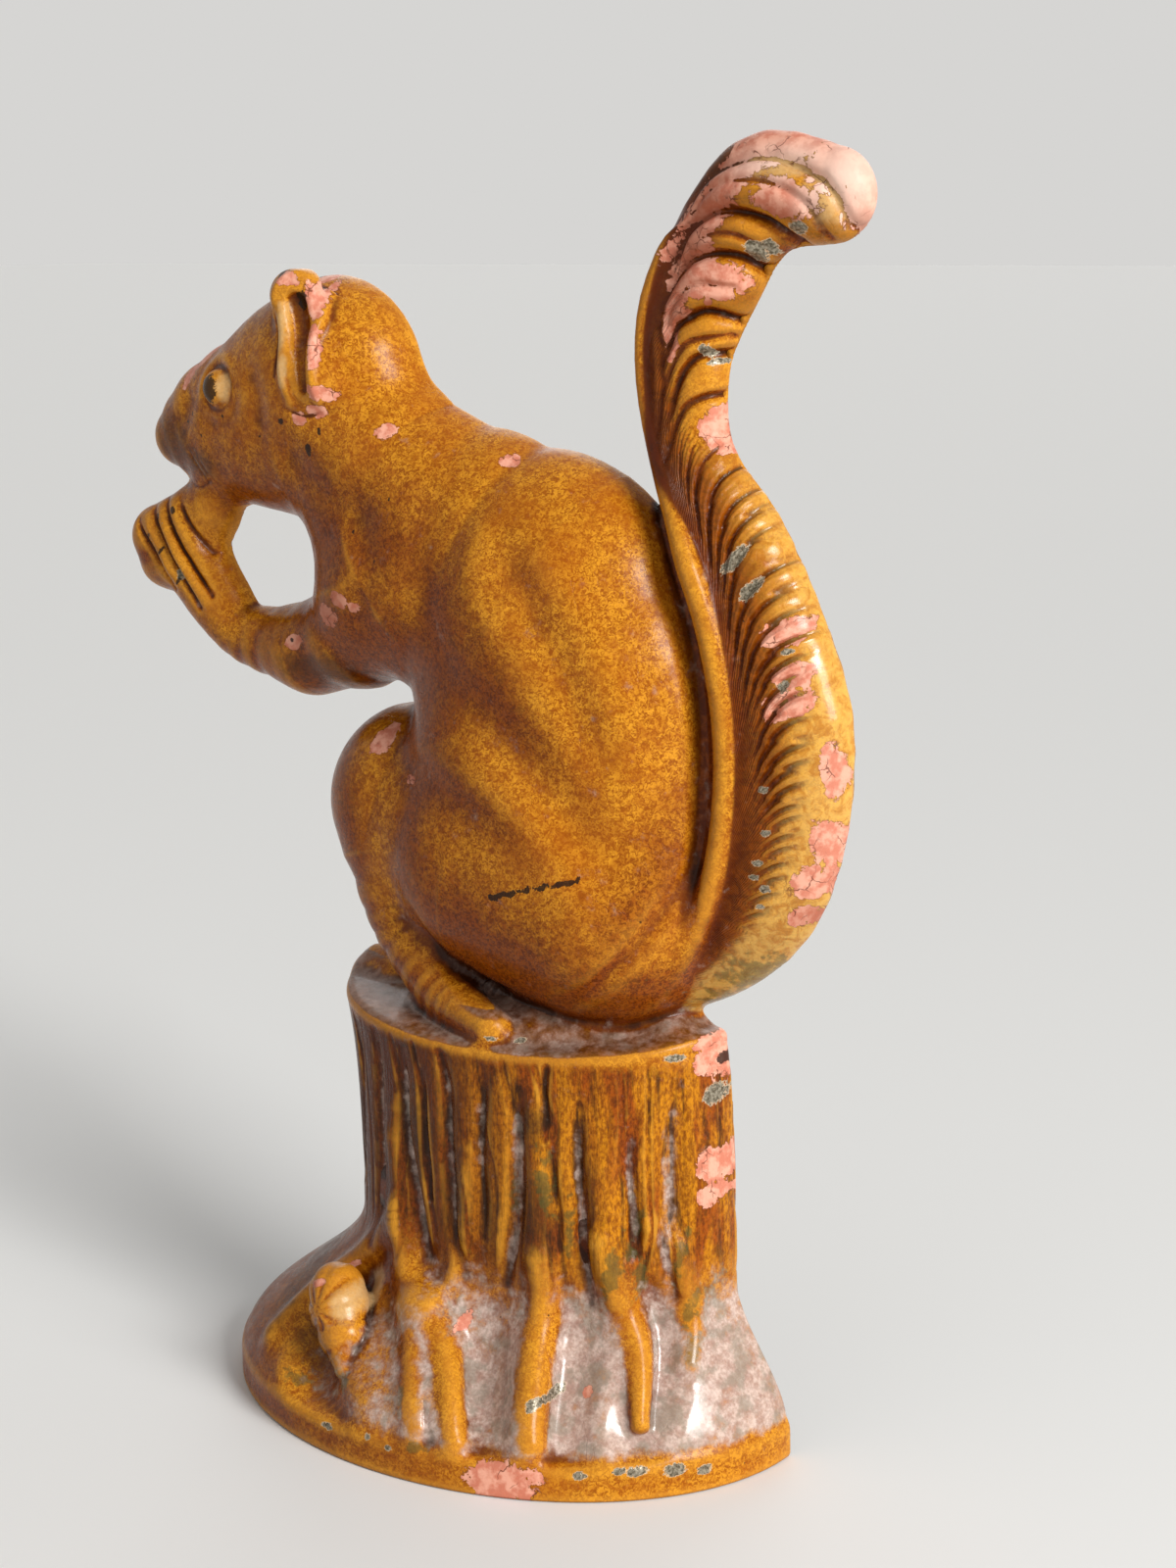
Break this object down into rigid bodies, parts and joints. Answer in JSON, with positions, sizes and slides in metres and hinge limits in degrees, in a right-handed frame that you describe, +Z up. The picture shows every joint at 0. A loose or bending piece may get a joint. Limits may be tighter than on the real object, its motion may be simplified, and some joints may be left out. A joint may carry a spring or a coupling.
{
  "type": "doorstop",
  "caption": "Cast iron doorstop of a squirrel eating on a tree stump, hollow and open at its flat back, with rubber door bumpers.",
  "frame": {"origin": "on the underside of the base, half way along it, 25 mm in front of the flat back", "axes": "+Z up; +Y out of the open back, towards the door; the squirrel looks along -X and its modelled side faces -Y"},
  "size_m": [0.2062, 0.0617, 0.2922],
  "materials": {
    "amber_painted_iron": "aged amber enamel, glossy, antiqued dark in the hollows, chipped to pink primer and grey metal",
    "black_rubber": "matt"
  },
  "bodies": {
    "root": {"iron_casting": "amber_painted_iron", "upper_bumper": "black_rubber", "left_bumper": "black_rubber", "right_bumper": "black_rubber"}
  },
  "joints": []
}
